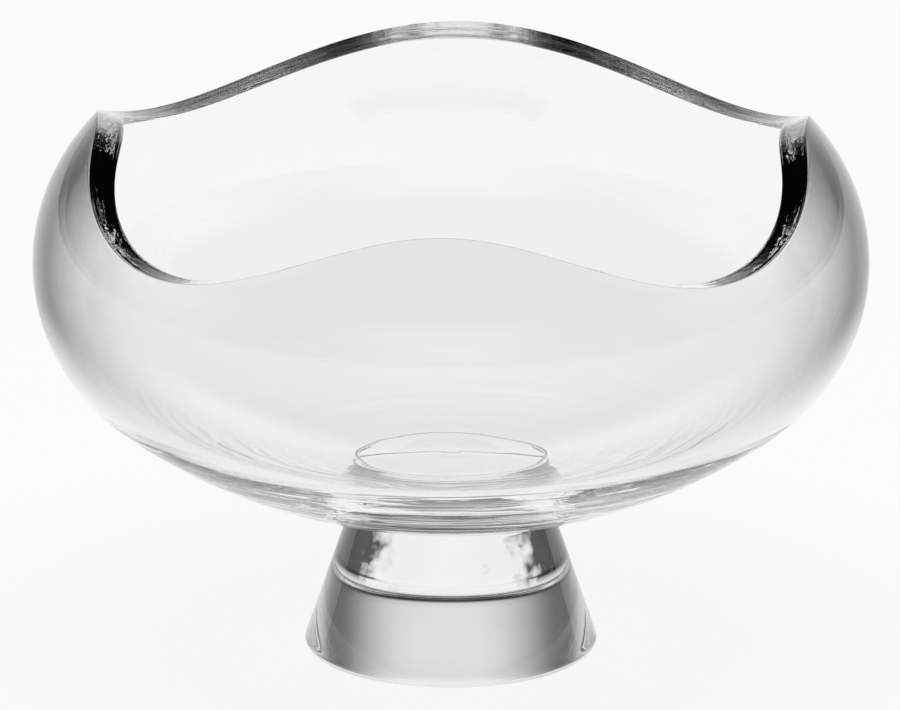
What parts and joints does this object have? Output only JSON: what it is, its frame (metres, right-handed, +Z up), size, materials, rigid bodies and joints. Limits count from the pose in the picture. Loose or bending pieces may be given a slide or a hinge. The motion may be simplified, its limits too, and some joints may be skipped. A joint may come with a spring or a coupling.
{
  "type": "trifle bowl",
  "caption": "Clear glass trifle bowl: a deep round bowl with a wave-cut rim, hot-joined to a solid tapered glass foot that stands on the table.",
  "frame": {"origin": "centre of the foot's underside, on the table", "axes": "+Z up along the bowl's axis; the wave's peaks lie on the X and Y axes; -Y is the side nearest the viewer"},
  "size_m": [0.25, 0.25, 0.1618],
  "materials": {
    "bowl_glass": "fire-polished clear glass, ground and polished rim",
    "foot_glass": "fire-polished clear glass, ground flat underneath"
  },
  "bodies": {
    "root": {"bowl": "bowl_glass", "foot": "foot_glass"}
  },
  "joints": []
}
